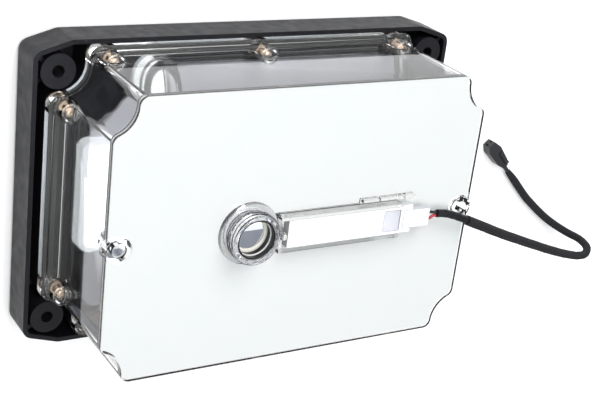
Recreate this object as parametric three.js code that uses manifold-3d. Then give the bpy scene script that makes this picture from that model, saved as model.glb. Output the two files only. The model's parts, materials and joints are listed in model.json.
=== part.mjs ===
// A flush-mounted, back-lit wall unit seen as it lies on a bench: the black frame's front rim
// rests on Z = 0, X runs along the long side, Y along the short side, and Z points out of the back.
// Every length is in millimetres.

import * as THREE from "three";
import { mergeVertices } from "three/addons/utils/BufferGeometryUtils.js";
import Module from "manifold-3d";

const wasm = await Module();
wasm.setup();

// ---------------------------------------------------------------- driving dimensions

const GAP = 0.3; // clearance between pieces that touch

// The clear tub, and the round scoop that each of its corners leaves for a fixing boss.
const REAR_Z = 82;
const TUB_X = 100;
const TUB_Y = 70.2;
const TUB_WALL = 2.5;
const SCOOP = { x: 103, y: 66.2, r: 14.3 };
const TUB_BLEND = 4.5;
const FLANGE = { x: 108.2, y: 75.4, scoop: 13.6, blend: 5.5, low: 20, high: 26 };
const RIDGE = 1.4;

// The black frame around the tub's mouth.
const FRAME_X = 115.5;
const FRAME_Y = 78;
const FRAME_DEPTH = 23;
const FRAME_WALL = 2.3;
const FRAME_EDGE = 3;
const FRAME_CORNER = 6;
const FRAME_SLOPE = { start: 96.7, fall: 0.307 };
const FRONT_WALL = 2.5; // thickness of the frame's front rim above the seat pocket
const CORE = { x: FLANGE.x - 0.5, y: FRAME_Y - FRAME_WALL, scoop: SCOOP.r - 0.2, blend: 5.5 };
const POCKET_WALL = 2.3;
const WEB = { low: 15, high: 18 };
const BOSS = { x: 103.3, y: 63.2, r: 8.5, bore: 3, low: 2, top: 22.6 };
const RIB = { half: 1.1, reach: 12.2, towardX: 9.6, towardY: 7, drop: 3 };

// The window through the front, and the round port in one corner of the web.
const WINDOW = { x: 89, y: 29.2, r: 6.5, wall: 2.6, low: 2.9, high: 24 };
const PORT = { x: -54.5, y: 56.6, r: 10.8, bore: 6.8, high: 31 };
const FASCIA = { low: 0.4, high: 2.6 };
const LENS = { low: 8.5, high: 11 };
const PANEL = { x: 85, y: 61, scoop: 20.5, portScoop: 38, blend: 2, thick: 2 };

// The screws that clamp tub, gasket and frame together: three along each long side, two on each end.
const SCREW = { row: 68.7, spread: 80, end: 100, endSpread: 46.4 };
Object.assign(SCREW, { head: 3.8, headDepth: 2.9, r: 2.5, tip: 32, hole: 2.9, relief: 4 });
const INSERT = { r: 4.1, bore: 2.8, low: 20.3, high: 26.8 };
const POST = { r: 5.2, bore: 4.4, top: 35 };

// The eyes moulded into the two ends of the tub's back.
const EAR = { x: 94.2, y: -1, r: 6.2, bore: 3.6, low: 72, floor: 75, high: REAR_Z + 0.6 };

// The white sheet under the tub's back, which reaches into a groove round the wall.
const BACKING = { thick: 1.5, groove: 0.8 };

// The threaded spigot and the seals inside its mouth.
const SPIGOT = { x: -30, y: 0.4, collar: 15.5, root: 11.9, crest: 13, mouth: 10.2, bore: 8.2, tail: 11.2 };
const SPIGOT_LOW = 79.5;
const SPIGOT_TOP = 92.5;
const THREAD_LOW = 85;
const THREAD_TURNS = 3;
const SEAL = { inner: 9.1, outer: 9.9, edge: 0.25 };

// The lamp module and the open-ended channel that it slides into.
const CHANNEL = { left: -16, right: 58, railEnd: 52.6, low: -9.8, high: 8.8, base: 83.1, rail: 88.5 };
const CATCH = { left: 30.6, right: 61.5, high: 11.3, rib: 85.4, block: 86 };
const LAMP = { left: -11.5, right: 53.2, low: -7.5, high: 6.4, bottom: 83.4, top: 88.4 };
const BLOCK = { left: 42.8, right: 52.2, low: -5.9, high: 4.9 };
const HEADER = { left: 53.5, right: 59.5, low: -7.6, high: 7.2, top: 88, wall: 1.1 };
const PLUG = { left: 54.9, right: 70.5, low: -5.3, high: 3.9, bottom: 83.4, top: 88.6 };
const PIN_Y = [-2.6, 0.8];

// The lead. Its route is the middle line of the sleeve, from the plug to the connector.
const LEAD_Z = 86;
const WIRE_R = 0.8;
const SHRINK_R = 2.1;
const SLEEVE_R = 2.7;
const NECK_R = 1.4;
const SHRINK_ROUTE = [[76.5, -0.5, 86], [82, -1.2, 86], [88, -3, 86], [93.5, -5.2, 86], [96.5, -6.5, 85.9]];
const SLEEVE_ROUTE = [
  [96.8, -6.6, 85.9], [104.9, -10.3, 84.8], [112.9, -14, 83], [120.6, -17.8, 80.6], [128.4, -21.5, 77.9],
  [136, -25.2, 75], [143.7, -28.8, 72.1], [151.4, -32.4, 69.1], [159, -36, 66.1], [166.8, -39.6, 63.2],
  [174.4, -43.1, 60.2], [182.2, -46.7, 57.5], [190, -50.2, 54.6], [197.7, -53.6, 51.6], [205.4, -57, 48.5],
  [213.1, -60.3, 45.2], [220.7, -63.5, 41.7], [228.1, -66.7, 37.8], [235.6, -69.7, 34], [244.1, -71, 31.4],
  [250.7, -69.9, 25.6], [252, -68.4, 17], [247.5, -66.4, 9.5], [240.6, -62.5, 5.5], [233.3, -57.7, 3.5],
  [226.2, -52.3, 2.8], [219.2, -46.6, 2.8], [212.4, -40.7, 2.8], [206.2, -34.3, 2.8], [200, -27.8, 2.8],
  [193.6, -21.5, 2.8],
];
const NECK_ROUTE = [[193.4, -21.3, 2.8], [191.4, -19.2, 2.9], [189.8, -17.5, 3]];
const CONNECTOR = { x: 189, y: -17.2, length: 20.5, height: 6, turn: 131 };
const CONNECTOR_OUTLINE = [
  [0, -1.8, 0.4], [4, -3.4, 0.6], [14.5, -3.9, 0.8], [20.5, -2, 0.6],
  [20.5, 2.8, 0.6], [16, 4.8, 0.8], [5, 3.8, 0.6], [0, 1.8, 0.4],
];

// ---------------------------------------------------------------- solids

function solid(geometry) {
  const bare = geometry.clone();
  bare.deleteAttribute("normal");
  bare.deleteAttribute("uv");
  const merged = mergeVertices(bare, 1e-4);
  const vertProperties = new Float32Array(merged.attributes.position.array);
  const triVerts = new Uint32Array(merged.index.array);
  return new wasm.Manifold(new wasm.Mesh({ numProp: 3, vertProperties, triVerts }));
}

function geometryOf(manifold) {
  const mesh = manifold.getMesh();
  const geometry = new THREE.BufferGeometry();
  geometry.setAttribute("position", new THREE.BufferAttribute(mesh.vertProperties, 3));
  geometry.setIndex(new THREE.BufferAttribute(mesh.triVerts, 1));
  return geometry;
}

const join = (first, ...others) => others.reduce((whole, piece) => whole.add(piece), first);
const cut = (first, ...others) => others.reduce((rest, piece) => rest.subtract(piece), first);

function prism(shape, low, high) {
  const options = { depth: high - low, bevelEnabled: false, curveSegments: 6 };
  return solid(new THREE.ExtrudeGeometry(shape, options).translate(0, 0, low));
}

function box(x0, x1, y0, y1, z0, z1) {
  const geometry = new THREE.BoxGeometry(x1 - x0, y1 - y0, z1 - z0);
  return solid(geometry.translate((x0 + x1) / 2, (y0 + y1) / 2, (z0 + z1) / 2));
}

function rod(x, y, radius, low, high, sides = 24) {
  const geometry = new THREE.CylinderGeometry(radius, radius, high - low, sides).rotateX(Math.PI / 2);
  return solid(geometry.translate(x, y, (low + high) / 2));
}

// A solid of revolution about a line along Z; the profile is a closed list of [radius, z].
function turned(profile, x, y, sides = 32) {
  const points = [...profile, profile[0]].map(([r, z]) => new THREE.Vector2(r, z));
  const geometry = new THREE.LatheGeometry(points, sides).rotateX(Math.PI / 2);
  return solid(geometry.translate(x, y, 0));
}

// ---------------------------------------------------------------- outlines

function arcPoints(x, y, radius, from, to, steps) {
  return Array.from({ length: steps + 1 }, (_, i) => {
    const angle = from + ((to - from) * i) / steps;
    return [x + radius * Math.cos(angle), y + radius * Math.sin(angle)];
  });
}

// A rectangle whose corners are scooped out by a circle, with a small round on each side of the scoop.
function scooped(halfX, halfY, scoop, blend) {
  const reach = scoop + blend;
  const top = { y: halfY - blend };
  top.x = SCOOP.x - Math.sqrt(reach ** 2 - (SCOOP.y - top.y) ** 2);
  const side = { x: halfX - blend };
  side.y = SCOOP.y - Math.sqrt(reach ** 2 - (SCOOP.x - side.x) ** 2);
  const toTop = Math.atan2(SCOOP.y - top.y, SCOOP.x - top.x);
  const toSide = Math.atan2(SCOOP.y - side.y, SCOOP.x - side.x);
  const corner = [
    ...arcPoints(side.x, side.y, blend, 0, toSide, 5),
    ...arcPoints(SCOOP.x, SCOOP.y, scoop, toSide + Math.PI, toTop + Math.PI, 8).slice(1, -1),
    ...arcPoints(top.x, top.y, blend, toTop, Math.PI / 2, 6),
  ];
  const mirrored = corner.map(([x, y]) => [-x, y]).reverse();
  const upper = [...corner, ...mirrored];
  const lower = upper.map(([x, y]) => [-x, -y]);
  return new THREE.Shape([...upper, ...lower].map(([x, y]) => new THREE.Vector2(x, y)));
}

// A closed outline through corner points [x, y, radius], each corner rounded to its radius.
function rounded(corners) {
  const shape = new THREE.Shape();
  corners.forEach(([x, y, radius], i) => {
    const [bx, by] = corners[(i + corners.length - 1) % corners.length];
    const [ax, ay] = corners[(i + 1) % corners.length];
    const back = new THREE.Vector2(bx - x, by - y).normalize();
    const ahead = new THREE.Vector2(ax - x, ay - y).normalize();
    const half = Math.acos(back.dot(ahead)) / 2;
    const trim = radius / Math.tan(half);
    const start = new THREE.Vector2(x, y).addScaledVector(back, trim);
    const end = new THREE.Vector2(x, y).addScaledVector(ahead, trim);
    if (i === 0) shape.moveTo(start.x, start.y);
    else shape.lineTo(start.x, start.y);
    if (radius > 0) shape.quadraticCurveTo(x, y, end.x, end.y);
  });
  shape.closePath();
  return shape;
}

const roundedRect = (x, y, r) => rounded([[-x, -y, r], [x, -y, r], [x, y, r], [-x, y, r]]);

// The frame's outline: long sides that slope down a little before each round corner.
function frameOutline(inset) {
  const { start, fall } = FRAME_SLOPE;
  const [x, y] = [FRAME_X - inset, FRAME_Y - inset];
  const corner = y - fall * (x - start);
  const radius = Math.max(FRAME_CORNER - inset, 1);
  const upper = [[x, corner, radius], [start, y, 2], [-start, y, 2], [-x, corner, radius]];
  const lower = upper.map(([px, py, r]) => [-px, -py, r]);
  return rounded([...upper, ...lower]);
}

const corners = [[1, 1], [-1, 1], [-1, -1], [1, -1]];

const screwPlaces = [
  ...[-1, 0, 1].map((k) => [k * SCREW.spread, SCREW.row]),
  ...[-1, 0, 1].map((k) => [k * SCREW.spread, -SCREW.row]),
  ...corners.map(([i, j]) => [i * SCREW.end, j * SCREW.endSpread]),
];

const tubOutline = (inset) =>
  scooped(TUB_X - inset, TUB_Y - inset, SCOOP.r + inset, TUB_BLEND - inset);

// The pocket in the frame's front that the fascia fills.
const pocketOutline = (inset) =>
  scooped(FLANGE.x - 3 - inset, CORE.y - POCKET_WALL - inset, SCOOP.r + POCKET_WALL + inset, 3 - inset);

const windowOutline = (inset) =>
  roundedRect(WINDOW.x - inset, WINDOW.y - inset, Math.max(WINDOW.r - inset, 1));

// ---------------------------------------------------------------- frame and front

// The frame is a moulding with a rim wall, a web that carries the tub, and four hollow bosses.
function bezelFrame() {
  const rear = FRAME_DEPTH;
  const edged = new THREE.ExtrudeGeometry(frameOutline(FRAME_EDGE), {
    depth: rear,
    bevelThickness: FRAME_EDGE,
    bevelSize: FRAME_EDGE,
    bevelSegments: 4,
    curveSegments: 6,
  }).translate(0, 0, FRAME_EDGE);
  const aboveRear = box(-FRAME_X - 1, FRAME_X + 1, -FRAME_Y - 1, FRAME_Y + 1, rear, 2 * rear);
  const body = solid(edged).subtract(aboveRear);
  const core = prism(scooped(CORE.x, CORE.y, CORE.scoop, CORE.blend), 0, rear + 1);
  const hollow = prism(frameOutline(FRAME_WALL), FRONT_WALL, rear + 1);
  const seat = prism(frameOutline(FRAME_WALL), WEB.high, rear + 1);
  const pocket = prism(pocketOutline(0), -1, WEB.low);
  const bosses = corners.map(([i, j]) => {
    const round = rod(i * BOSS.x, j * BOSS.y, BOSS.r, BOSS.low, BOSS.top, 32);
    const heading = THREE.MathUtils.radToDeg(Math.atan2(j * RIB.towardY, i * RIB.towardX));
    const rib = box(0, RIB.reach, -RIB.half, RIB.half, BOSS.low, BOSS.top - RIB.drop);
    return round.add(rib.rotate([0, 0, heading]).translate([i * BOSS.x, j * BOSS.y, 0]));
  });
  const holes = corners.map(([i, j]) => rod(i * BOSS.x, j * BOSS.y, BOSS.bore, -1, rear + 1));
  const screwHoles = screwPlaces.flatMap(([x, y]) => [
    rod(x, y, SCREW.hole, WEB.low - 1, WEB.high + 1, 16),
    rod(x, y, SCREW.head + 0.5, WEB.low - SCREW.relief, WEB.low, 24),
  ]);
  const moulding = join(body.subtract(hollow.subtract(core)).subtract(seat), ...bosses);
  return cut(
    moulding,
    pocket,
    prism(windowOutline(-GAP), -1, rear),
    rod(PORT.x, PORT.y, PORT.bore, -1, rear),
    ...holes,
    ...screwHoles,
  );
}

function frontFascia() {
  const { low, high } = FASCIA;
  const plate = prism(pocketOutline(GAP), low, high);
  return cut(
    plate,
    prism(windowOutline(WINDOW.wall), low - 1, high + 1),
    rod(PORT.x, PORT.y, PORT.bore, low - 1, high + 1),
  );
}

function windowSurround() {
  return prism(windowOutline(0), WINDOW.low, WINDOW.high)
    .subtract(prism(windowOutline(WINDOW.wall), WINDOW.low - 1, WINDOW.high + 1));
}

const windowLens = () => prism(windowOutline(WINDOW.wall + GAP), LENS.low, LENS.high);

// The pale panels that lie on the web above and below the window. The upper one keeps clear of the port.
function facePanel(side) {
  const low = WEB.high + GAP;
  const high = low + PANEL.thick;
  const inner = WINDOW.y + 0.5;
  const right = prism(scooped(PANEL.x, PANEL.y, PANEL.scoop, PANEL.blend), low, high);
  const leftScoop = side > 0 ? PANEL.portScoop : PANEL.scoop;
  const left = prism(scooped(PANEL.x, PANEL.y, leftScoop, PANEL.blend), low, high);
  const [from, to] = side > 0 ? [inner, TUB_Y] : [-TUB_Y, -inner];
  const panel = join(
    right.intersect(box(0, TUB_X, from, to, low - 1, high + 1)),
    left.intersect(box(-TUB_X, 0, from, to, low - 1, high + 1)),
  );
  return panel.subtract(rod(PORT.x, PORT.y, PORT.r + GAP, low - 1, high + 1));
}

function portRing() {
  const low = WEB.high + GAP;
  const { r, bore, high } = PORT;
  return turned([[bore, low], [r, low], [r, high - 1.5], [r - 1.5, high], [bore, high]], PORT.x, PORT.y);
}

function portLens() {
  const lip = PORT.bore + 1.4;
  const neck = PORT.bore - GAP;
  const under = WEB.low - GAP;
  const [low, top] = [under - 1.8, WEB.high - 0.2];
  const profile = [[0, low], [lip, low], [lip, under], [neck, under], [neck, top], [0, top]];
  return turned(profile, PORT.x, PORT.y, 24);
}

function flangeGasket() {
  const { x, y, scoop, blend } = FLANGE;
  const [low, high] = [WEB.high + GAP, FLANGE.low - GAP];
  const ring = prism(scooped(x - GAP, y - GAP, scoop + GAP, blend - GAP), low, high);
  const holes = screwPlaces.map(([px, py]) => rod(px, py, SCREW.hole, low - 1, high + 1, 16));
  return cut(ring, prism(tubOutline(TUB_WALL), low - 1, high + 1), ...holes);
}

// ---------------------------------------------------------------- tub

function clearTub() {
  const { low, high, x, y, scoop, blend } = FLANGE;
  const walls = prism(tubOutline(0), low, REAR_Z);
  const flange = prism(scooped(x, y, scoop, blend), low, high);
  const ridge = prism(scooped(x - 2.3, y - 1.5, scoop, blend - 1), high - 1, high + RIDGE)
    .subtract(prism(scooped(x - 4.2, y - 2.6, scoop + 0.6, blend - 2), high - 2, high + RIDGE + 1));
  const posts = screwPlaces.map(([px, py]) => rod(px, py, POST.r, low, POST.top));
  const ears = [-1, 1].map((side) => rod(side * EAR.x, EAR.y, EAR.r, EAR.low, EAR.high, 32));
  const outer = join(walls, flange, ridge, ...posts);
  const groove = REAR_Z - TUB_WALL - BACKING.thick - 2 * GAP;
  const inside = prism(tubOutline(TUB_WALL), low - 1, REAR_Z - TUB_WALL);
  const cavity = cut(
    join(inside, prism(tubOutline(BACKING.groove), groove, REAR_Z - TUB_WALL)),
    ...screwPlaces.map(([px, py]) => rod(px, py, POST.r, low - 1, POST.top)),
    ...ears,
  );
  const bores = screwPlaces.map(([px, py]) => rod(px, py, POST.bore, low - 1, POST.top - 1));
  const eyes = [-1, 1].map((side) => rod(side * EAR.x, EAR.y, EAR.bore, EAR.floor, REAR_Z + 1));
  const spigotHole = rod(SPIGOT.x, SPIGOT.y, SPIGOT.tail + GAP, SPIGOT_LOW - 1, REAR_Z + 1, 32);
  return cut(join(outer, ...ears), cavity, ...bores, ...eyes, spigotHole);
}

function whiteBacking() {
  const high = REAR_Z - TUB_WALL - GAP;
  const low = high - BACKING.thick;
  const sheet = prism(tubOutline(BACKING.groove + GAP), low, high);
  const eyes = [-1, 1].map((side) => rod(side * EAR.x, EAR.y, EAR.r + GAP, low - 1, high + 1, 32));
  return cut(sheet, ...eyes, rod(SPIGOT.x, SPIGOT.y, SPIGOT.tail + 2 * GAP, low - 1, high + 1, 32));
}

// A screw enters from the web, its head inside the frame's front pocket and its tip in a tub post.
function clampScrew(x, y) {
  const { r, tip, head, headDepth } = SCREW;
  const under = WEB.low - GAP;
  const crown = under - headDepth;
  const headProfile = [[0, crown], [head - 0.8, crown], [head, crown + 0.7], [head, under]];
  return turned([...headProfile, [r, under], [r, tip - 1], [r - 1, tip], [0, tip]], x, y, 16);
}

function threadInsert(x, y) {
  const { r, bore, low, high } = INSERT;
  return turned([[bore, low], [r, low], [r, high - 0.6], [r - 0.6, high], [bore, high]], x, y, 16);
}

// ---------------------------------------------------------------- spigot and seals

function threadedSpigot() {
  const { collar, root, crest, mouth, bore, tail } = SPIGOT;
  const foot = REAR_Z + GAP;
  const step = REAR_Z + 1;
  const pitch = (SPIGOT_TOP - 0.6 - THREAD_LOW) / THREAD_TURNS;
  const thread = Array.from({ length: THREAD_TURNS }, (_, i) => {
    const start = THREAD_LOW + i * pitch;
    return [[root, start + 0.15 * pitch], [crest, start + 0.4 * pitch],
      [crest, start + 0.65 * pitch], [root, start + 0.9 * pitch]];
  }).flat();
  const skirt = [[tail, SPIGOT_LOW], [tail, foot], [collar, foot]];
  const shoulder = [[collar, THREAD_LOW - 0.6], [collar - 0.6, THREAD_LOW], [root, THREAD_LOW]];
  const ledge = [[mouth, step], [bore, step], [bore, REAR_Z], [mouth, REAR_Z]];
  const outside = [...skirt, ...shoulder, ...thread, [root, SPIGOT_TOP]];
  return turned([...outside, [mouth, SPIGOT_TOP], ...ledge, [mouth, SPIGOT_LOW]], SPIGOT.x, SPIGOT.y, 48);
}

function flatRing(inner, outer, low, high) {
  return turned([[inner, low], [outer, low], [outer, high], [inner, high]], SPIGOT.x, SPIGOT.y, 40);
}

function sealBand(low, high) {
  const { inner, outer, edge } = SEAL;
  const under = [[inner, low + edge], [inner + edge, low], [outer, low]];
  const upper = [[outer, high], [inner + edge, high], [inner, high - edge]];
  return turned([...under, ...upper], SPIGOT.x, SPIGOT.y, 48);
}

// ---------------------------------------------------------------- lamp

// The channel is moulded clear plastic, open at its right end, with a ribbed catch beside it.
function lampChannel() {
  const { left, right, railEnd, low, high, base, rail } = CHANNEL;
  const foot = REAR_Z + GAP;
  const [ribLow, ribHigh] = [CATCH.high - 1.7, CATCH.high - 0.2];
  const moulding = join(
    box(left, right, low, high, foot, base),
    box(left, railEnd, low, low + 1.9, foot, rail),
    box(left, railEnd, LAMP.high + GAP, LAMP.high + 2.2, foot, rail),
    box(left, left + 2, low, high, foot, rail - 1),
    box(left, LAMP.left - GAP, -3.4, -0.6, foot, rail - 0.5),
    box(CATCH.left, CATCH.right, high - 0.3, CATCH.high, foot, base),
    box(CATCH.left + 0.6, 40.3, ribLow, ribHigh, foot, CATCH.rib),
    box(41.2, 51.8, ribLow, ribHigh, foot, CATCH.rib),
    box(52.6, 54.4, ribLow, ribHigh, foot, CATCH.rib),
    box(55.5, CATCH.right, CATCH.high - 1.9, CATCH.high + 0.3, foot, CATCH.block),
  );
  return moulding.subtract(rod(SPIGOT.x, SPIGOT.y, SPIGOT.collar + GAP, 80, 90, 48));
}

function lampCase() {
  const { left, right, low, high, bottom, top } = LAMP;
  const shell = box(left, right, low, high, bottom, top);
  const tray = box(left + 1.5, BLOCK.left - 1.8, low + 1.5, high - 1.5, bottom - 1, 86.8);
  const blockHole = box(
    BLOCK.left - GAP, BLOCK.right + GAP, BLOCK.low - GAP, BLOCK.high + GAP, bottom - 1, top + 1,
  );
  const panel = roundedRect(23, 4.4, 1.5);
  const inset = prism(panel, top - 0.4, top + 1).translate([14, (low + high) / 2, 0]);
  return cut(shell, tray, blockHole, inset);
}

const lampBoard = () => box(-9.2, 40.2, -5.4, 4.3, 84.9, 86.4);

function lampLed(index) {
  const x = -2 + 17.5 * index;
  return box(x - 1.75, x + 1.75, -2.1, 1, 83.6, 84.6);
}

const endBlock = () =>
  box(BLOCK.left, BLOCK.right, BLOCK.low, BLOCK.high, LAMP.bottom, LAMP.top - 0.3);

// The header is the lamp's socket: a wall that holds the pins, and two arms beside the plug's nose.
function lampHeader() {
  const { left, right, low, high, top, wall } = HEADER;
  const block = box(left, right, low, high, LAMP.bottom, top);
  const mouth = box(left + wall, right + 1, PLUG.low - GAP, PLUG.high + GAP, LAMP.bottom - 1, top + 1);
  const bores = PIN_Y.map((y) => box(52, 61, y - 0.65, y + 0.65, LEAD_Z - 0.65, LEAD_Z + 0.65));
  return cut(block, mouth, ...bores);
}

const headerPin = (y) => box(53.8, 62, y - 0.32, y + 0.32, LEAD_Z - 0.32, LEAD_Z + 0.32);

function leadPlug() {
  const { left, right, low, high, bottom, top } = PLUG;
  const body = join(
    box(left, right, low, high, bottom, top - 0.6),
    box(left + 6, right - 1, low + 1.6, high - 1.6, top - 1, top),
  );
  const bores = PIN_Y.map((y) => box(left - 1, 67, y - 0.7, y + 0.7, LEAD_Z - 0.7, LEAD_Z + 0.7));
  return cut(body, ...bores);
}

// ---------------------------------------------------------------- lead

function tube(route, radius, sides, steps) {
  const path = new THREE.CatmullRomCurve3(route.map((p) => new THREE.Vector3(...p)), false, "centripetal");
  const section = new THREE.Shape(arcPoints(0, 0, radius, 0, 2 * Math.PI * (1 - 1 / sides), sides - 1)
    .map(([x, y]) => new THREE.Vector2(x, y)));
  return new THREE.ExtrudeGeometry(section, { steps, bevelEnabled: false, extrudePath: path });
}

function connectorBody() {
  const { length, height } = CONNECTOR;
  const shell = prism(rounded(CONNECTOR_OUTLINE), 0, height);
  const [low, high] = [height / 2 - 0.6, height / 2 + 0.6];
  const sockets = [-1, 1.8].map((y) => box(length - 8, length + 1, y - 0.6, y + 0.6, low, high));
  return cut(shell, ...sockets);
}

const connectorLatch = () => join(
  box(2, 11.5, -3, -0.6, CONNECTOR.height + GAP, CONNECTOR.height + 0.9),
  box(2, 4, -3, -0.6, CONNECTOR.height + GAP, CONNECTOR.height + 1.4),
);

// ---------------------------------------------------------------- scene graph

const part = new THREE.Group();

function add(name, shape, color, roughness, metalness = 0, parent = part) {
  const geometry = shape.isBufferGeometry ? shape : geometryOf(shape);
  const mesh = new THREE.Mesh(geometry, new THREE.MeshStandardMaterial({ color, roughness, metalness }));
  mesh.name = name;
  parent.add(mesh);
}

const BLACK = 0x3a3a40;
const WHITE = 0xf6fbfd;
const CLEAR = 0xe8eef2;
const BRASS = 0xb79a7d;

add("bezel_frame", bezelFrame(), BLACK, 0.5);
add("front_fascia", frontFascia(), 0x2c2c30, 0.35);
add("window_surround", windowSurround(), 0xdedee6, 0.2);
add("window_lens", windowLens(), 0xffffff, 0.3);
add("upper_face_panel", facePanel(1), 0xb8b8c0, 0.5);
add("lower_face_panel", facePanel(-1), 0xb8b8c0, 0.5);
add("port_ring", portRing(), CLEAR, 0.1);
add("port_lens", portLens(), 0xffffff, 0.3);
add("flange_gasket", flangeGasket(), 0x202022, 0.6);
add("clear_tub", clearTub(), CLEAR, 0.05);
add("white_backing", whiteBacking(), WHITE, 0.4);
screwPlaces.forEach(([x, y], i) => {
  add(`clamp_screw_${i + 1}`, clampScrew(x, y), BRASS, 0.35, 0.9);
  add(`thread_insert_${i + 1}`, threadInsert(x, y), BRASS, 0.4, 0.9);
});

add("threaded_spigot", threadedSpigot(), CLEAR, 0.1);
add("seal_seat_ring", flatRing(7.7, 9.9, 83.3, 84.4), 0xf4f2e6, 0.4);
add("inner_seal", sealBand(84.7, 87.7), 0x161616, 0.5);
add("seal_spacer", flatRing(8.8, 9.9, 88, 88.4), 0xffffff, 0.4);
add("outer_seal", sealBand(88.7, 91.7), 0x161616, 0.5);

add("lamp_channel", lampChannel(), CLEAR, 0.1);
add("lamp_case", lampCase(), WHITE, 0.4);
add("lamp_board", lampBoard(), 0xe6efe8, 0.5);
[0, 1, 2].forEach((i) => add(`lamp_led_${i + 1}`, lampLed(i), 0xfff4c8, 0.3));
add("lamp_end_block", endBlock(), 0xdcdcf0, 0.1);
add("lamp_header", lampHeader(), WHITE, 0.4);
PIN_Y.forEach((y, i) => add(`header_pin_${i + 1}`, headerPin(y), 0xd0c090, 0.3, 1));

add("lead_plug", leadPlug(), WHITE, 0.4);
const wireStart = PLUG.right + GAP;
const wireEnd = SHRINK_ROUTE[0][0] - 2 * GAP;
const WIRES = [
  { name: "red_wire", color: 0xc83040, end: -1.5 },
  { name: "black_wire", color: 0x1c1c1e, end: 0.4 },
];
WIRES.forEach(({ name, color, end }, i) => {
  const start = PIN_Y[i];
  const xy = [[wireStart, start], [wireStart + 1.5, start], [wireEnd - 1.5, end], [wireEnd, end]];
  add(name, tube(xy.map(([x, y]) => [x, y, LEAD_Z]), WIRE_R, 8, 5), color, 0.5);
});
add("lead_shrink", tube(SHRINK_ROUTE, SHRINK_R, 10, 6), 0x252528, 0.5);
add("lead_sleeve", tube(SLEEVE_ROUTE, SLEEVE_R, 10, 24), 0x35353b, 0.7);
add("lead_neck", tube(NECK_ROUTE, NECK_R, 8, 3), 0x1c1c1e, 0.5);

const connector = new THREE.Group();
connector.position.set(CONNECTOR.x, CONNECTOR.y, 0);
connector.rotation.z = THREE.MathUtils.degToRad(CONNECTOR.turn);
add("connector_body", connectorBody(), 0x26262a, 0.4, 0, connector);
add("connector_latch", connectorLatch(), 0x1f1f22, 0.4, 0, connector);
part.add(connector);

export default part;
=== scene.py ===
"""Looks of a flush-mounted, back-lit wall unit that lies face down on a bench; the glow of its lens, window
surround and white backing is painted light, as none of them is a lamp. Lengths are in millimetres until a
mesh is made, and the frame is the CAD part's own."""

import json
import math

import bmesh
import bpy
from mathutils import Matrix, Vector

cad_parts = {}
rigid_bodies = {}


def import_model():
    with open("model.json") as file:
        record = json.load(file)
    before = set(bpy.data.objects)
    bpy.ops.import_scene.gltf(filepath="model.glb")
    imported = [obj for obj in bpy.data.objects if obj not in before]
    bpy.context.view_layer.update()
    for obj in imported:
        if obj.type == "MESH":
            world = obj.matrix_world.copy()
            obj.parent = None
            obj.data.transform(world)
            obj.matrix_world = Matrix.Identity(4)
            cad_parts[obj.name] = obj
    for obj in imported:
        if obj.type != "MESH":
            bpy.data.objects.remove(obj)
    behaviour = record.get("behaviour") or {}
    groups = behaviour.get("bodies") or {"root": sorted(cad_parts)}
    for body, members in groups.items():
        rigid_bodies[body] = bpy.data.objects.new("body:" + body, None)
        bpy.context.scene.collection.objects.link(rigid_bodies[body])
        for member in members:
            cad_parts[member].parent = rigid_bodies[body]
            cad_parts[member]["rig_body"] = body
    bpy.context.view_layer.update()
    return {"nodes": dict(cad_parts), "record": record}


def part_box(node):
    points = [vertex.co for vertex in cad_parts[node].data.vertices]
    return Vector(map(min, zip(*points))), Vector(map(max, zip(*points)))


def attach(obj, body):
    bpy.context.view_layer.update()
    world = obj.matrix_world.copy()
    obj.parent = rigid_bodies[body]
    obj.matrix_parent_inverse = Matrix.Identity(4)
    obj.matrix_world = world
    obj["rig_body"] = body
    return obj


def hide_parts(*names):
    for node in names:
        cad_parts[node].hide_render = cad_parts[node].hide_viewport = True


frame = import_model()
MM = 0.001

# ---------------------------------------------------------------- camera

CAMERA_LENS = 77.17
SENSOR_WIDTH = 36
CLIP_START = 0.01
CAMERA_PLACE = Vector((-0.3075, 0.2450, 0.5540))
CAMERA_RIGHT = Vector((0.85982, 0.11636, 0.49716))
CAMERA_UP = Vector((0.09889, 0.91730, -0.38573))
CAMERA_BACK = Vector((-0.50093, 0.38082, 0.77720))

camera_data = bpy.data.cameras.new("camera")
camera_data.lens = CAMERA_LENS
camera_data.sensor_width = SENSOR_WIDTH
camera_data.clip_start = CLIP_START
camera = bpy.data.objects.new("camera", camera_data)
bpy.context.scene.collection.objects.link(camera)
turn = Matrix((CAMERA_RIGHT, CAMERA_UP, CAMERA_BACK)).transposed().to_4x4()
camera.matrix_world = Matrix.Translation(CAMERA_PLACE) @ turn
bpy.context.scene.camera = camera

# ---------------------------------------------------------------- dimensions, as in the CAD part

GAP = 0.3
REAR_Z = 82
TUB = {"x": 100, "y": 70.2, "wall": 2.5, "blend": 4.5}
SCOOP = {"x": 103, "y": 66.2, "r": 14.3}
FLANGE = {"x": 108.2, "y": 75.4, "scoop": 13.6, "blend": 5.5, "low": 20, "high": 26}
EAR = {"x": 94.2, "y": -1, "r": 6.2, "bore": 3.6, "low": 72, "floor": 75, "high": 82.6}
BACKING = {"thick": 1.5, "groove": 0.8}
POST = {"r": 5.2, "top": 35, "bore": 4.4, "bore_top": 34}
PORT = {"x": -54.5, "y": 56.6, "r": 10.8, "bore": 6.8, "low": 18.3, "high": 31}
SPIGOT = {
    "x": -30, "y": 0.4, "tail": 11.2, "collar": 15.5, "root": 11.9, "crest": 13, "mouth": 10.2, "bore": 8.2,
}
SPIGOT_LEVELS = {"low": 79.5, "shoulder": 85, "top": 92.5}
THREAD_PITCH = 2.3
ROUND_SIDES = 96
SEAL = {"inner": 9.1, "outer": 9.9}
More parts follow.
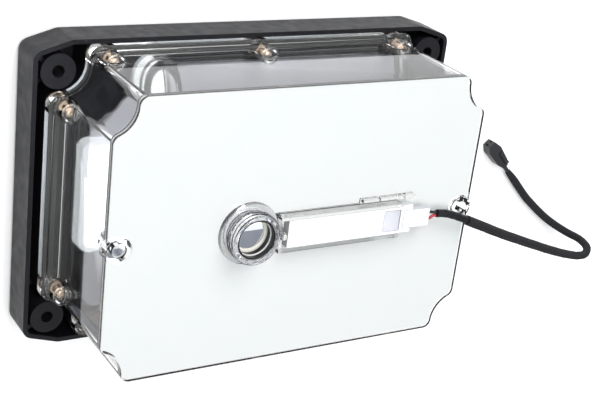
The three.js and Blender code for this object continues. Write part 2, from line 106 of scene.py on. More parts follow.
# For each ring in the spigot's mouth: inner radius, lower and upper level, chamfer and CAD node.
RINGS = {
    "seat_ring_turned": (7.7, 83.3, 84.4, 0.25, "seal_seat_ring"),
    "inner_seal_turned": (SEAL["inner"], 84.7, 87.7, 0.3, "inner_seal"),
    "spacer_turned": (8.8, 88, 88.4, 0.1, "seal_spacer"),
    "outer_seal_turned": (SEAL["inner"], 88.7, 91.7, 0.3, "outer_seal"),
}
CLAMP_SCREW = {"r": 2.5, "head": 3.8, "low": 11.8, "under": 14.7, "tip": 32, "pitch": 1.1, "thread": 0.42}
INSERT = {"r": 4.1, "groove": 3.7, "bore": 2.8, "low": 20.3, "high": 26.8, "knurls": 28, "knurl": 0.16}
SCREW_ROW = 68.7
SCREW_SPREAD = 80
SCREW_END = (100, 46.4)
LEAD_Z = 86
SLEEVE = {"r": 2.55, "taper": 0.22, "skin": 0.08, "closes_at": 0.955, "closes_by": 0.75}
SHRINK = {"r": 2.05, "grip": 0.28, "grip_at": 0.04, "grip_length": 0.1, "wave": 0.05, "waves": 4.5}
YARN = {"width": 0.6, "thick": 0.13, "weave": 0.06, "strands": 12, "pitch": 13}
CABLE_R = 1.35
WIRE_R = 0.78
SHRINK_ROUTE = [(76.5, -0.5, 86), (82, -1.2, 86), (88, -3, 86), (93.5, -5.2, 86), (96.5, -6.5, 85.9)]
SLEEVE_ROUTE = [
    (96.8, -6.6, 85.9), (104.9, -10.3, 84.8), (112.9, -14, 83), (120.6, -17.8, 80.6),
    (128.4, -21.5, 77.9), (136, -25.2, 75), (143.7, -28.8, 72.1), (151.4, -32.4, 69.1),
    (159, -36, 66.1), (166.8, -39.6, 63.2), (174.4, -43.1, 60.2), (182.2, -46.7, 57.5),
    (190, -50.2, 54.6), (197.7, -53.6, 51.6), (205.4, -57, 48.5), (213.1, -60.3, 45.2),
    (220.7, -63.5, 41.7), (228.1, -66.7, 37.8), (235.6, -69.7, 34), (244.1, -71, 31.4),
    (250.7, -69.9, 25.6), (252, -68.4, 17), (247.5, -66.4, 9.5), (240.6, -62.5, 5.5),
    (233.3, -57.7, 3.5), (226.2, -52.3, 2.8), (219.2, -46.6, 2.8), (212.4, -40.7, 2.8),
    (206.2, -34.3, 2.8), (200, -27.8, 2.8), (193.6, -21.5, 2.8),
]
NECK_ROUTE = [(193.4, -21.3, 2.8), (191.4, -19.2, 2.9), (189.8, -17.5, 3)]
CORNERS = [(1, 1), (-1, 1), (-1, -1), (1, -1)]
SCREWS = (
    [(k * SCREW_SPREAD, SCREW_ROW) for k in (-1, 0, 1)]
    + [(k * SCREW_SPREAD, -SCREW_ROW) for k in (-1, 0, 1)]
    + [(i * SCREW_END[0], j * SCREW_END[1]) for i, j in CORNERS]
)

# ---------------------------------------------------------------- materials


def node_material(name):
    """A new material with its node tree and its main shader."""
    material = bpy.data.materials.new(name)
    material.use_nodes = True
    tree = material.node_tree
    return material, tree, tree.nodes["Principled BSDF"]


def add_node(tree, kind, settings=(), **inputs):
    """A node with its settings, and its sockets set by name with _ for a space."""
    node = tree.nodes.new(kind)
    for key, value in dict(settings).items():
        setattr(node, key, value)
    for key, value in inputs.items():
        node.inputs[key.replace("_", " ")].default_value = value
    return node


PATCH = {"moulded": 14, "metal": 2.5}
SHEEN_PATCH = {"moulded": 6, "metal": 1.2}


def noise(tree, size_mm, detail):
    """A noise whose blobs are about size_mm across, measured in the part's own space."""
    place = add_node(tree, "ShaderNodeTexCoord")
    texture = add_node(tree, "ShaderNodeTexNoise", Scale=1 / (size_mm * MM), Detail=detail)
    tree.links.new(place.outputs["Object"], texture.inputs["Vector"])
    return texture.outputs["Fac"]


def spread(tree, source, low, high):
    """A noise's middle range spread out from low to high."""
    ranged = add_node(tree, "ShaderNodeMapRange", From_Min=0.3, From_Max=0.7, To_Min=low, To_Max=high)
    tree.links.new(source, ranged.inputs["Value"])
    return ranged.outputs["Result"]


def tint(tree, shader, colour, other, source):
    """The base colour runs from colour to other as source goes from low to high."""
    mix = add_node(tree, "ShaderNodeMix", {"data_type": "RGBA"})
    mix.inputs[6].default_value = (*colour, 1)
    mix.inputs[7].default_value = (*other, 1)
    tree.links.new(spread(tree, source, 0, 1), mix.inputs[0])
    tree.links.new(mix.outputs[2], shader.inputs["Base Color"])


def relief(tree, shader, source, height_mm, strength=0.6):
    """Fine bumps of height_mm."""
    bump = add_node(tree, "ShaderNodeBump", Strength=strength, Distance=height_mm * MM)
    tree.links.new(source, bump.inputs["Height"])
    tree.links.new(bump.outputs["Normal"], shader.inputs["Normal"])


def moulded(name, colour, other, rough, grain, height, coat, shine):
    """Moulded plastic or rubber: fine grain, slow patches of colour and sheen."""
    material, tree, shader = node_material(name)
    shader.inputs["Specular IOR Level"].default_value = shine
    tint(tree, shader, colour, other, noise(tree, PATCH["moulded"], 4))
    sheen = noise(tree, SHEEN_PATCH["moulded"], 4)
    tree.links.new(spread(tree, sheen, rough - 0.06, rough + 0.08), shader.inputs["Roughness"])
    relief(tree, shader, noise(tree, grain, 4), height)
    shader.inputs["Coat Weight"].default_value = coat
    shader.inputs["Coat Roughness"].default_value = 0.15
    return material


def metal(name, colour, other, rough):
    """Machined metal with a patchy sheen."""
    material, tree, shader = node_material(name)
    tint(tree, shader, colour, other, noise(tree, PATCH["metal"], 4))
    sheen = noise(tree, SHEEN_PATCH["metal"], 4)
    tree.links.new(spread(tree, sheen, rough - 0.08, rough + 0.12), shader.inputs["Roughness"])
    relief(tree, shader, noise(tree, 0.5, 3), 0.02)
    shader.inputs["Metallic"].default_value = 1
    return material


def clear(name, colour, rough=0.03, ripple=0.02, passes=(0.99, 0.99, 0.985), milk=0.0):
    """Clear plastic that bends what is seen through it and lets lamps reach what is behind it.
    passes tints the lamps' light on its way through, and milk is the cloudy share."""
    material, tree, shader = node_material(name)
    shader.inputs["Base Color"].default_value = (*colour, 1)
    shader.inputs["Transmission Weight"].default_value = 1 - milk
    shader.inputs["IOR"].default_value = 1.5
    tree.links.new(spread(tree, noise(tree, 9, 3), rough, rough + 0.03), shader.inputs["Roughness"])
    relief(tree, shader, noise(tree, 16, 2), ripple, 0.5)
    window = add_node(tree, "ShaderNodeBsdfTransparent", Color=(*passes, 1))
    rays = add_node(tree, "ShaderNodeLightPath")
    mix = add_node(tree, "ShaderNodeMixShader")
    output = tree.nodes["Material Output"]
    tree.links.new(rays.outputs["Is Shadow Ray"], mix.inputs[0])
    tree.links.new(shader.outputs["BSDF"], mix.inputs[1])
    tree.links.new(window.outputs["BSDF"], mix.inputs[2])
    tree.links.new(mix.outputs["Shader"], output.inputs["Surface"])
    return material


def woven(name, colour, other):
    """Yarn of a braided sleeve: fibres across each ribbon, dull with a faint sheen."""
    material, tree, shader = node_material(name)
    tint(tree, shader, colour, other, noise(tree, 0.5, 3))
    tree.links.new(spread(tree, noise(tree, 0.4, 2), 0.5, 0.75), shader.inputs["Roughness"])
    relief(tree, shader, noise(tree, 0.12, 2), 0.04)
    shader.inputs["Specular IOR Level"].default_value = 0.2
    shader.inputs["Sheen Weight"].default_value = 0.06
    shader.inputs["Sheen Roughness"].default_value = 0.4
    return material


# Each slot's two colours, roughness, and the size and height of its grain in millimetres.
MOULDED = {
    "frame_black": ((0.007, 0.007, 0.009), (0.012, 0.012, 0.0155), 0.46, 0.35, 0.05),
    "fascia_black": ((0.012, 0.012, 0.014), (0.02, 0.02, 0.022), 0.2, 0.8, 0.01),
    "window_white": ((0.82, 0.83, 0.9), (0.9, 0.91, 0.95), 0.3, 0.6, 0.01),
    "lens_opal": ((0.9, 0.92, 0.95), (0.95, 0.96, 0.98), 0.28, 0.8, 0.01),
    "panel_grey": ((0.54, 0.54, 0.61), (0.61, 0.61, 0.67), 0.45, 0.5, 0.02),
    "gasket_black": ((0.016, 0.016, 0.015), (0.03, 0.03, 0.028), 0.5, 0.5, 0.04),
    "backing_white": ((0.9, 0.94, 0.955), (0.93, 0.96, 0.975), 0.4, 0.7, 0.01),
    "seal_black": ((0.005, 0.005, 0.006), (0.01, 0.01, 0.011), 0.38, 0.4, 0.02),
    "seat_cream": ((0.86, 0.84, 0.74), (0.92, 0.9, 0.82), 0.35, 0.5, 0.01),
    "spacer_white": ((0.88, 0.88, 0.88), (0.94, 0.94, 0.93), 0.35, 0.5, 0.01),
    "lamp_white": ((0.86, 0.89, 0.9), (0.92, 0.94, 0.95), 0.32, 0.5, 0.012),
    "board_green": ((0.42, 0.6, 0.46), (0.5, 0.68, 0.54), 0.35, 0.3, 0.02),
    "led_phosphor": ((0.9, 0.72, 0.2), (0.95, 0.82, 0.35), 0.3, 0.2, 0.01),
    "plug_white": ((0.84, 0.87, 0.91), (0.9, 0.92, 0.95), 0.34, 0.4, 0.015),
    "wire_red": ((0.36, 0.02, 0.04), (0.47, 0.035, 0.06), 0.32, 0.5, 0.02),
    "wire_black": ((0.012, 0.012, 0.014), (0.022, 0.022, 0.025), 0.34, 0.5, 0.02),
    "shrink_black": ((0.007, 0.007, 0.0085), (0.014, 0.014, 0.016), 0.42, 0.6, 0.05),
    "connector_black": ((0.012, 0.012, 0.014), (0.022, 0.022, 0.026), 0.34, 0.4, 0.02),
}
SHINE = {"frame_black": 0.2, "seal_black": 0.3, "shrink_black": 0.25, "connector_black": 0.45}
COAT = {"fascia_black": 0.5}
# Painted glow: the lens, the window surround and the white backing give off light of their own though none
# of them is a lamp, so that they stay white where little light reaches them inside the tub.
PAINTED_GLOW = {"lens_opal": 1.0, "window_white": 0.6, "backing_white": 0.22}
PAINTED_GLOW_COLOUR = (0.92, 0.97, 1, 1)

LOOKS = {
    slot: moulded(slot, *settings, COAT.get(slot, 0.0), SHINE.get(slot, 0.5))
    for slot, settings in MOULDED.items()
}
LOOKS |= {
    "clear_plastic": clear("clear_plastic", (0.995, 0.995, 0.985)),
    "clear_smoky": clear("clear_smoky", (0.78, 0.78, 0.79), rough=0.04, ripple=0.03),
    "block_lavender": clear(
        "block_lavender", (0.9, 0.91, 0.97), rough=0.06, passes=(0.95, 0.955, 0.99), milk=0.45
    ),
    "screw_copper": metal("screw_copper", (0.42, 0.32, 0.25), (0.6, 0.49, 0.4), 0.38),
    "insert_brass": metal("insert_brass", (0.45, 0.35, 0.27), (0.62, 0.52, 0.42), 0.42),
    "pin_metal": metal("pin_metal", (0.74, 0.62, 0.36), (0.84, 0.74, 0.5), 0.2),
    "sleeve_braid": woven("sleeve_braid", (0.006, 0.006, 0.008), (0.024, 0.024, 0.028)),
}
# Sets the painted glow, a light of their own, on the lens, window surround and backing slots.
for slot, strength in PAINTED_GLOW.items():
    painted_glow_shader = LOOKS[slot].node_tree.nodes["Principled BSDF"]
    painted_glow_shader.inputs["Emission Color"].default_value = PAINTED_GLOW_COLOUR
    painted_glow_shader.inputs["Emission Strength"].default_value = strength
slot_of = {s["node"]: s["material_slot"] for s in frame["record"]["subparts"]}

# ---------------------------------------------------------------- mesh helpers


def mesh_object(name, points, faces, smooth_angle):
    """A mesh from points in millimetres, smooth except across edges sharper than smooth_angle."""
    mesh = bpy.data.meshes.new(name)
    mesh.from_pydata([Vector(p) * MM for p in points], [], faces)
    bm = bmesh.new()
    bm.from_mesh(mesh)
    bmesh.ops.recalc_face_normals(bm, faces=bm.faces)
    bm.to_mesh(mesh)
    bm.free()
    obj = bpy.data.objects.new(name, mesh)
    bpy.context.scene.collection.objects.link(obj)
    smooth(obj, smooth_angle)
    return obj


def smooth(obj, angle):
    """Smooth shading that breaks at edges sharper than angle."""
    obj.data.shade_smooth()
    obj.data.set_sharp_from_angle(angle=math.radians(angle))


def placed(obj, *nodes):
    """obj stands for these CAD nodes: it rides with them and takes their finish."""
    slot = slot_of[nodes[0]]
    obj.data.materials.clear()
    obj.data.materials.append(LOOKS[slot])
    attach(obj, frame["nodes"][nodes[0]]["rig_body"])
    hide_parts(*nodes)
    return obj


def bevel(obj, width, segments, angle):
    """Rounds the edges sharper than angle to width, in millimetres."""
    modifier = obj.modifiers.new("edge", "BEVEL")
    modifier.width = width * MM
    modifier.segments = segments
    modifier.limit_method = "ANGLE"
    modifier.angle_limit = math.radians(angle)
    modifier.use_clamp_overlap = True
    modifier.harden_normals = True


def refined(node, width, segments, angle=30):
    """The CAD node's own shape with its flat faces merged and its edges rounded."""
    mesh = frame["nodes"][node].data.copy()
    obj = bpy.data.objects.new(node + "_piece", mesh)
    bpy.context.scene.collection.objects.link(obj)
    bm = bmesh.new()
    bm.from_mesh(mesh)
    bmesh.ops.remove_doubles(bm, verts=bm.verts, dist=1e-6)
    bmesh.ops.dissolve_limit(bm, angle_limit=math.radians(0.6), verts=bm.verts, edges=bm.edges)
    bm.to_mesh(mesh)
    bm.free()
    smooth(obj, angle)
    bevel(obj, width, segments, angle)
    return placed(obj, node)


def loft(name, rings, smooth_angle, closed=False):
    """Rings of equal length joined in turn; the ends are capped unless the last ring meets the first."""
    count = len(rings[0])
    points = [p for ring in rings for p in ring]
    last = len(rings) if closed else len(rings) - 1
    faces = []
    for i in range(last):
        a = i * count
        b = ((i + 1) % len(rings)) * count
        for j in range(count):
            k = (j + 1) % count
            faces.append((a + j, a + k, b + k, b + j))
    if not closed:
        faces.append(tuple(range(count)))
        faces.append(tuple(last * count + j for j in range(count)))
    return mesh_object(name, points, faces, smooth_angle)


def circle(x, y, radius, z, sides, wave=None):
    """A ring about (x, y); wave(angle) is added to its radius."""
    ring = []
    for i in range(sides):
        angle = 2 * math.pi * i / sides
        r = radius + (wave(angle) if wave else 0)
        ring.append((x + r * math.cos(angle), y + r * math.sin(angle), z))
    return ring


def circles(x, y, profile, sides):
    """Plain rings about (x, y) through (radius, z) pairs."""
    return [circle(x, y, r, z, sides) for r, z in profile]


TURNED_SMOOTH = 32


def turned(name, x, y, profile, sides, closed=False):
    """A solid of revolution through (radius, z) pairs."""
    return loft(name, circles(x, y, profile, sides), TURNED_SMOOTH, closed)


def combine(obj, other, operation):
    """Joins another solid to obj, or cuts it out, and removes the other."""
    modifier = obj.modifiers.new("solid", "BOOLEAN")
    modifier.operation = operation
    modifier.solver = "MANIFOLD"
    modifier.object = other
    made = obj.evaluated_get(bpy.context.evaluated_depsgraph_get())
    mesh = bpy.data.meshes.new_from_object(made)
    obj.modifiers.clear()
    obj.data = mesh
    bpy.data.objects.remove(other)


def rod(x, y, radius, low, high, sides=48):
    """A plain upright cylinder."""
    return turned("rod", x, y, [(radius, low), (radius, high)], sides)


def arc(x, y, radius, start, end, steps):
    """Points on a circle about (x, y), from one angle to another."""
    turns = [start + (end - start) * i / steps for i in range(steps + 1)]
    return [(x + radius * math.cos(t), y + radius * math.sin(t)) for t in turns]


def scooped(half_x, half_y, scoop, blend, z):
    """A rectangle whose corners are scooped by a circle, with a small round on each side of the scoop."""
    reach = scoop + blend
    top_y = half_y - blend
    top_x = SCOOP["x"] - math.sqrt(reach**2 - (SCOOP["y"] - top_y) ** 2)
    side_x = half_x - blend
    side_y = SCOOP["y"] - math.sqrt(reach**2 - (SCOOP["x"] - side_x) ** 2)
    to_top = math.atan2(SCOOP["y"] - top_y, SCOOP["x"] - top_x)
    to_side = math.atan2(SCOOP["y"] - side_y, SCOOP["x"] - side_x)
    corner = arc(side_x, side_y, blend, 0, to_side, 12)
    corner += arc(SCOOP["x"], SCOOP["y"], scoop, to_side + math.pi, to_top + math.pi, 20)[1:-1]
    corner += arc(top_x, top_y, blend, to_top, math.pi / 2, 12)
    upper = corner + [(-x, y) for x, y in reversed(corner)]
    return [(x, y, z) for x, y in upper] + [(-x, -y, z) for x, y in upper]


def tub_ring(inset, z):
    """The tub's outline, moved in by inset."""
    blend = TUB["blend"] - inset
    return scooped(TUB["x"] - inset, TUB["y"] - inset, SCOOP["r"] + inset, blend, z)


def flange_ring(inset, z, scoop_extra=0.0):
    """The flange's outline, moved in by inset, with its scoops wider by scoop_extra."""
    f = FLANGE
    return scooped(f["x"] - inset, f["y"] - inset, f["scoop"] + scoop_extra, f["blend"] - 0.4 * inset, z)


# ---------------------------------------------------------------- routes and sweeps


def curve_points(route, step):
    """Points about step apart on a centripetal Catmull-Rom curve through the route."""
    p = [Vector(q) for q in route]
    p = [2 * p[0] - p[1], *p, 2 * p[-1] - p[-2]]
    points = []
    for a, b, c, d in zip(p, p[1:], p[2:], p[3:]):
        ab, bc, cd = [math.sqrt((v - u).length) for u, v in ((a, b), (b, c), (c, d))]
        enter = ((b - a) / ab - (c - a) / (ab + bc) + (c - b) / bc) * bc
        leave = ((c - b) / bc - (d - b) / (bc + cd) + (d - c) / cd) * bc
        count = max(2, math.ceil((c - b).length / step))
        for i in range(count):
            t = i / count
            points.append(
                (2 * t**3 - 3 * t**2 + 1) * b
                + (t**3 - 2 * t**2 + t) * enter
                + (3 * t**2 - 2 * t**3) * c
                + (t**3 - t**2) * leave
            )
    return [*points, p[-2]]


def frames_along(points):
    """For each point, two directions across the line that turn as little as they can."""
    across = []
    side = Vector((0, 0, 1))
    for i in range(len(points)):
        ahead = (points[min(i + 1, len(points) - 1)] - points[max(i - 1, 0)]).normalized()
        side = (side - ahead * side.dot(ahead)).normalized()
        across.append((side, ahead.cross(side)))
    return across


SWEEP_SMOOTH = 50


def swept(name, points, radius, sides=24):
    """A tube along points; radius(share, angle) is its radius at a share of its length."""
    rings = []
    for i, (point, (u, v)) in enumerate(zip(points, frames_along(points))):
        share = i / (len(points) - 1)
        ring = []
        for j in range(sides):
            angle = 2 * math.pi * j / sides
            r = radius(share, angle)
            ring.append(point + u * (r * math.cos(angle)) + v * (r * math.sin(angle)))
        rings.append(ring)
    return loft(name, rings, SWEEP_SMOOTH)


# ---------------------------------------------------------------- the lead

sleeve_line = curve_points(SLEEVE_ROUTE, 1.2)


def sleeve_radius(share):
    """The sleeve draws in a little along its length and closes on the cable at its end."""
    closing = max(0.0, (share - SLEEVE["closes_at"]) / (1 - SLEEVE["closes_at"]))
    return SLEEVE["r"] - SLEEVE["taper"] * share - SLEEVE["closes_by"] * closing**2


def core_radius(share, _):
    """The sleeve under its yarns."""
    return sleeve_radius(share) - SLEEVE["skin"]


sleeve = placed(swept("lead_sleeve_core", sleeve_line, core_radius), "lead_sleeve")


def braid(name, points, radius):
    """Flat yarns wound both ways round the line, each passing over and under the others."""
    half, thick, strands, pitch = YARN["width"] / 2, YARN["thick"], YARN["strands"], YARN["pitch"]
    section = [(-half, -thick), (0, thick * 0.6), (half, -thick), (0, -thick)]
    across = frames_along(points)
    lengths = [0.0]
    for a, b in zip(points, points[1:]):
        lengths.append(lengths[-1] + (b - a).length)
    total = lengths[-1]
    verts, faces = [], []
    for hand in (-1, 1):
        for k in range(strands):
            first = len(verts)
            for i, (point, (u, v)) in enumerate(zip(points, across)):
                turn_angle = hand * 2 * math.pi * lengths[i] / pitch + 2 * math.pi * k / strands
                weave = math.sin(strands * lengths[i] / pitch * 2 * math.pi + math.pi * k)
                middle = radius(lengths[i] / total) + YARN["weave"] * hand * weave
                for off, rise in section:
                    angle = turn_angle + off / middle
                    r = middle + rise
                    verts.append(point + u * (r * math.cos(angle)) + v * (r * math.sin(angle)))
            for i in range(len(points) - 1):
                a, b = first + 4 * i, first + 4 * i + 4
                for j in range(4):
                    n = (j + 1) % 4
                    faces.append((a + j, a + n, b + n, b + j))
            faces.append((first, first + 1, first + 2, first + 3))
            faces.append(tuple(first + 4 * (len(points) - 1) + j for j in range(4)))
    return mesh_object(name, verts, faces, 40)


yarns = braid("lead_sleeve_braid", sleeve_line, sleeve_radius)
yarns.data.materials.append(LOOKS["sleeve_braid"])
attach(yarns, "lead")


def shrink_radius(share, angle):
    """Smooth where it grips the sleeve, waisted over the two wires at its start."""
    grip = SHRINK["grip"] * math.exp(-(((share - SHRINK["grip_at"]) / SHRINK["grip_length"]) ** 2))
    wave = SHRINK["wave"] * math.sin(2 * math.pi * SHRINK["waves"] * share)
    return SHRINK["r"] - grip * (0.5 + 0.5 * math.cos(2 * angle)) + wave


shrink = placed(swept("lead_shrink_tube", curve_points(SHRINK_ROUTE, 0.6), shrink_radius), "lead_shrink")
neck = placed(swept("lead_neck_cable", curve_points(NECK_ROUTE, 0.4), lambda s, a: CABLE_R), "lead_neck")

WIRE_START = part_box("lead_plug")[1].x / MM + GAP
WIRE_END = SHRINK_ROUTE[0][0] - 2 * GAP


def wire(name, y, end):
    """A straight wire that leaves the plug at y and enters the shrink tube at end."""
    xy = [(WIRE_START, y), (WIRE_START + 1.5, y), (WIRE_END - 1.5, end), (WIRE_END, end)]
    line = curve_points([(a, b, LEAD_Z) for a, b in xy], 0.3)
    return placed(swept(name + "_strand", line, lambda s, a: WIRE_R, 20), name)


red = wire("red_wire", -2.6, -1.5)
black = wire("black_wire", 0.8, 0.4)
plug = refined("lead_plug", 0.45, 4)
connector = refined("connector_body", 0.8, 4)
latch = refined("connector_latch", 0.25, 3)

# ---------------------------------------------------------------- frame and front

refined("bezel_frame", 0.45, 3, 28)
FRONT_EDGES = {
    "front_fascia": 0.4, "window_surround": 0.35, "window_lens": 0.3, "upper_face_panel": 0.3,
    "lower_face_panel": 0.3, "port_lens": 0.25,
}
for front_node, edge_width in FRONT_EDGES.items():
    refined(front_node, edge_width, 3)
refined("flange_gasket", 0.25, 2)


def port_ring():
    """A ring with a step in its outer wall and a rounded crown."""
    p = PORT
    profile = [(p["bore"], p["low"]), (p["r"], p["low"]), (p["r"], p["high"] - 4.2)]
    profile += [(p["r"] - 0.9, p["high"] - 3.4), (p["r"] - 0.9, p["high"] - 1.2)]
    profile += [(p["r"] - 1.6, p["high"] - 0.2), (p["r"] - 2.4, p["high"]), (p["bore"] + 0.6, p["high"])]
    profile += [(p["bore"], p["high"] - 0.6)]
    return turned("port_ring_turned", p["x"], p["y"], profile, 72, closed=True)


placed(port_ring(), "port_ring")

# ---------------------------------------------------------------- tub


def fillet(radius, steps, z):
    """(inset, z) pairs round an outer edge of that radius whose top is at z."""
    turns = [math.pi / 2 * i / steps for i in range(steps + 1)]
    return [(radius * (1 - math.cos(t)), z - radius + radius * math.sin(t)) for t in turns]


# The flange's upper side from its edge inward: how far in, how high, and how much wider the scoops.
FLANGE_CROWN = [
    (0, -0.6, 0), (0.2, -0.15, 0), (0.6, 0, 0), (1.6, 0, 0), (2.0, 0.5, 0), (2.2, 1.1, 0), (2.7, 1.4, 0),
    (3.4, 1.4, 0.3), (3.8, 1.0, 0.4), (4.0, 0, 0.5),
]


def clear_tub():
    """Wall, rear face and the stepped flange as one skin, then the posts, eyes and holes."""
    low, high = FLANGE["low"], FLANGE["high"]
    rings = [flange_ring(0.5, low), flange_ring(0, low + 0.5)]
    rings += [flange_ring(inset, high + rise, wider) for inset, rise, wider in FLANGE_CROWN]
    rings += [tub_ring(-0.2, high), tub_ring(0, high + 0.6)]
    rings += [tub_ring(inset, z) for inset, z in fillet(1.3, 8, REAR_Z)]
    wall = TUB["wall"]
    groove = REAR_Z - wall - BACKING["thick"] - 2 * GAP
    inside = [(wall, low - 1), (wall, groove), (BACKING["groove"], groove)]
    inside.append((BACKING["groove"], REAR_Z - wall))
    body = loft("clear_tub_shell", rings, 26)
    cavity = loft("cavity", [tub_ring(inset, z) for inset, z in inside], 26)
    combine(body, cavity, "DIFFERENCE")
    r, top = POST["r"], POST["top"]
    for x, y in SCREWS:
        post = [(r, low + 0.02), (r, top - 1.2), (r - 0.2, top - 0.5), (r - 0.7, top)]
        combine(body, turned("post", x, y, post, 48), "UNION")
    for side in (-1, 1):
        x, y = side * EAR["x"], EAR["y"]
        ear = [(EAR["r"], EAR["low"]), (EAR["r"], EAR["high"] - 0.3), (EAR["r"] - 0.3, EAR["high"])]
        combine(body, turned("ear", x, y, ear, 48), "UNION")
        combine(body, rod(x, y, EAR["bore"], EAR["floor"], REAR_Z + 2), "DIFFERENCE")
    r, top = POST["bore"], POST["bore_top"]
    for x, y in SCREWS:
        bore = [(r, low - 1), (r, top - 0.8), (r - 0.8, top)]
        combine(body, turned("bore", x, y, bore, 40), "DIFFERENCE")
    spigot_hole = rod(SPIGOT["x"], SPIGOT["y"], SPIGOT["tail"] + GAP, REAR_Z - 7, REAR_Z + 2, 64)
    combine(body, spigot_hole, "DIFFERENCE")
    smooth(body, 16)
    return body


placed(clear_tub(), "clear_tub")
refined("white_backing", 0.3, 3)

# ---------------------------------------------------------------- screws and inserts


def clamp_screw(index, x, y):
    """A pan-headed screw with a helical thread and a small centre mark in its tip."""
    c = CLAMP_SCREW
    r, crown, head, under, tip = c["r"], c["low"], c["head"], c["under"], c["tip"]
    profile = [(2.4, crown), (3.2, crown + 0.1), (3.7, crown + 0.6), (head, crown + 1.4)]
    profile += [(head, under - 0.1), (2.3, under)]
    rings = circles(x, y, profile, 32)
    start, end = under + 0.3, tip - 0.6
    steps = 96
    for i in range(steps + 1):
        z = start + (end - start) * i / steps
        depth = c["thread"] * min(1, (end - z) / 0.8 + 0.2)

        def groove(t, z=z, depth=depth):
            return -depth * (0.5 + 0.5 * math.cos(t - 2 * math.pi * z / c["pitch"]))

        rings.append(circle(x, y, r, z, 32, groove))
    rings += circles(x, y, [(2.0, tip - 0.2), (1.7, tip), (0.8, tip), (0.3, tip - 0.5)], 32)
    return loft(f"clamp_screw_{index}_threaded", rings, 40)


def thread_insert(index, x, y):
    """A press-in insert: two knurled bands with a smooth groove between them."""
    n = INSERT
    low, high, bore = n["low"], n["high"], n["bore"]

    def knurl(t):
        return n["knurl"] * (abs(math.sin(n["knurls"] / 2 * t)) - 1)

    levels = [(low, False), (low + 0.4, True), (23, True), (23.3, False)]
    levels += [(24.0, False), (24.3, True), (high - 0.5, True), (high, False)]
    outer = [circle(x, y, n["r"] if on else n["groove"], z, 112, knurl if on else None) for z, on in levels]
    inner = [(bore + 0.3, high), (bore, high - 0.4), (bore, low + 0.4), (bore + 0.3, low)]
    return loft(f"thread_insert_{index}_knurled", outer + circles(x, y, inner, 112), 40, closed=True)


for number, (sx, sy) in enumerate(SCREWS, 1):
    placed(clamp_screw(number, sx, sy), f"clamp_screw_{number}")
    placed(thread_insert(number, sx, sy), f"thread_insert_{number}")

# ---------------------------------------------------------------- spigot and seals


def threaded_spigot():
    """The collar, three turns of a helical thread, the stepped mouth and the ledge in its foot."""
    s = SPIGOT
    x, y, collar, root, mouth, bore = s["x"], s["y"], s["collar"], s["root"], s["mouth"], s["bore"]
    low, shoulder, top = SPIGOT_LEVELS["low"], SPIGOT_LEVELS["shoulder"], SPIGOT_LEVELS["top"]
    foot = REAR_Z + GAP
    profile = [(s["tail"], low), (s["tail"], foot), (collar - 0.3, foot), (collar, foot + 0.3)]
    profile += [(collar, shoulder - 0.7), (collar - 0.2, shoulder - 0.2), (collar - 0.7, shoulder)]
    profile += [(root + 0.4, shoulder), (root, shoulder + 0.2)]
    rings = circles(x, y, profile, ROUND_SIDES)
    start, end = shoulder + 0.3, top - 0.5
    steps = 56
    height = s["crest"] - root
    for i in range(steps + 1):
        z = start + (end - start) * i / steps
        fade = min(1, (z - start) / 0.9, (end - z) / 0.7)

        def crest(t, z=z, fade=fade):
            swing = 0.5 + 0.5 * math.cos(2 * math.pi * z / THREAD_PITCH - t)
            return height * fade * min(1, max(0, 1.5 * swing - 0.25))

        rings.append(circle(x, y, root, z, ROUND_SIDES, crest))
    inside = [(root - 0.15, top - 0.1), (root - 0.4, top), (mouth + 0.3, top), (mouth, top - 0.3)]
    inside += [(mouth, REAR_Z + 1), (bore + 0.2, REAR_Z + 1), (bore, REAR_Z + 0.8), (bore, REAR_Z)]
    inside += [(mouth, REAR_Z), (mouth, low)]
    rings += circles(x, y, inside, ROUND_SIDES)
    return loft("threaded_spigot_moulded", rings, 30, closed=True)


def flat_ring(name, inner, low, high, edge):
    """A ring about the spigot's axis, edge being the chamfer on each of its edges."""
    outer = SEAL["outer"]
    profile = [(inner + edge, low), (outer - edge, low), (outer, low + edge), (outer, high - edge)]
    profile += [(outer - edge, high), (inner + edge, high), (inner, high - edge), (inner, low + edge)]
    return turned(name, SPIGOT["x"], SPIGOT["y"], profile, ROUND_SIDES, closed=True)


placed(threaded_spigot(), "threaded_spigot")
for piece, (*sizes, ring_node) in RINGS.items():
    placed(flat_ring(piece, *sizes), ring_node)

# ---------------------------------------------------------------- lamp

refined("lamp_channel", 0.22, 2)
refined("lamp_case", 0.45, 4)
refined("lamp_board", 0.15, 2)
for led in (1, 2, 3):
    refined(f"lamp_led_{led}", 0.15, 2)
refined("lamp_end_block", 0.4, 3)
refined("lamp_header", 0.25, 3)
for pin in (1, 2):
    refined(f"header_pin_{pin}", 0.08, 2)

# ---------------------------------------------------------------- stage and light, in metres

FLOOR_WIDTH = 20
FLOOR_GAP = 0.0004
FLOOR_GLOW = 0.2
SKY_COLOUR = (0.97, 0.985, 1, 1)
SKY_LOW, SKY_HIGH = 0.12, 0.75
LAMP_AIM = Vector((0, 0, 0.05))
LAMP_POWER = 15


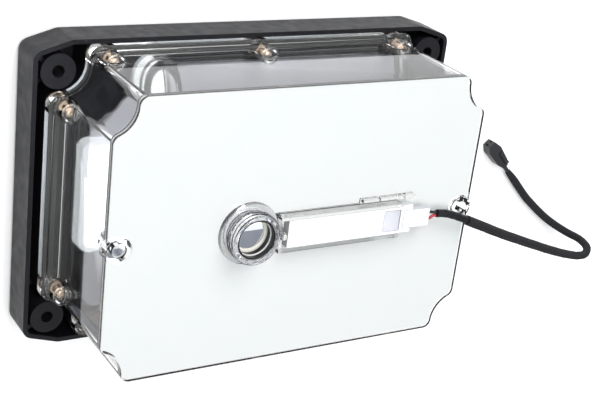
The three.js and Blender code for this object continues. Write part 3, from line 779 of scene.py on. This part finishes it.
def stage_floor():
    """A wide pale floor just under the part, with a little light of its own."""
    material, tree, shader = node_material("floor")
    tint(tree, shader, (0.93, 0.93, 0.93), (0.95, 0.95, 0.95), noise(tree, 300, 2))
    shader.inputs["Roughness"].default_value = 0.8
    shader.inputs["Emission Color"].default_value = (1, 1, 1, 1)
    shader.inputs["Emission Strength"].default_value = FLOOR_GLOW
    half = FLOOR_WIDTH / 2
    corners = [(i * half, j * half, 0) for i, j in ((-1, -1), (1, -1), (1, 1), (-1, 1))]
    mesh = bpy.data.meshes.new("floor")
    mesh.from_pydata(corners, [], [(0, 1, 2, 3)])
    floor = bpy.data.objects.new("floor", mesh)
    floor.location.z = -FLOOR_GAP
    floor.data.materials.append(material)
    bpy.context.scene.collection.objects.link(floor)


def sky_light():
    """A pale sky that is brighter overhead than at the horizon."""
    world = bpy.data.worlds.new("world")
    world.use_nodes = True
    tree = world.node_tree
    place = add_node(tree, "ShaderNodeTexCoord")
    split = add_node(tree, "ShaderNodeSeparateXYZ")
    band = add_node(tree, "ShaderNodeMapRange", From_Min=-0.1, From_Max=0.9, To_Min=SKY_LOW, To_Max=SKY_HIGH)
    background = tree.nodes["Background"]
    tree.links.new(place.outputs["Generated"], split.inputs["Vector"])
    tree.links.new(split.outputs["Z"], band.inputs["Value"])
    tree.links.new(band.outputs["Result"], background.inputs["Strength"])
    background.inputs["Color"].default_value = SKY_COLOUR
    bpy.context.scene.world = world


def lamp(name, place, size):
    """A round soft lamp that faces the part's middle."""
    data = bpy.data.lights.new(name, "AREA")
    data.shape = "DISK"
    data.size = size
    data.energy = LAMP_POWER
    light = bpy.data.objects.new(name, data)
    light.location = place
    light.rotation_euler = (LAMP_AIM - Vector(place)).to_track_quat("-Z", "Y").to_euler()
    bpy.context.scene.collection.objects.link(light)


stage_floor()
sky_light()
lamp("key", (0.1, 1.15, 1.05), 1.1)
lamp("top", (-0.15, 0.1, 1.7), 1.3)

scene = bpy.context.scene
scene.view_settings.view_transform = "Standard"
scene.cycles.max_bounces = 32
scene.cycles.transmission_bounces = 32
scene.cycles.transparent_max_bounces = 24
scene.cycles.caustics_refractive = False
scene.cycles.caustics_reflective = False
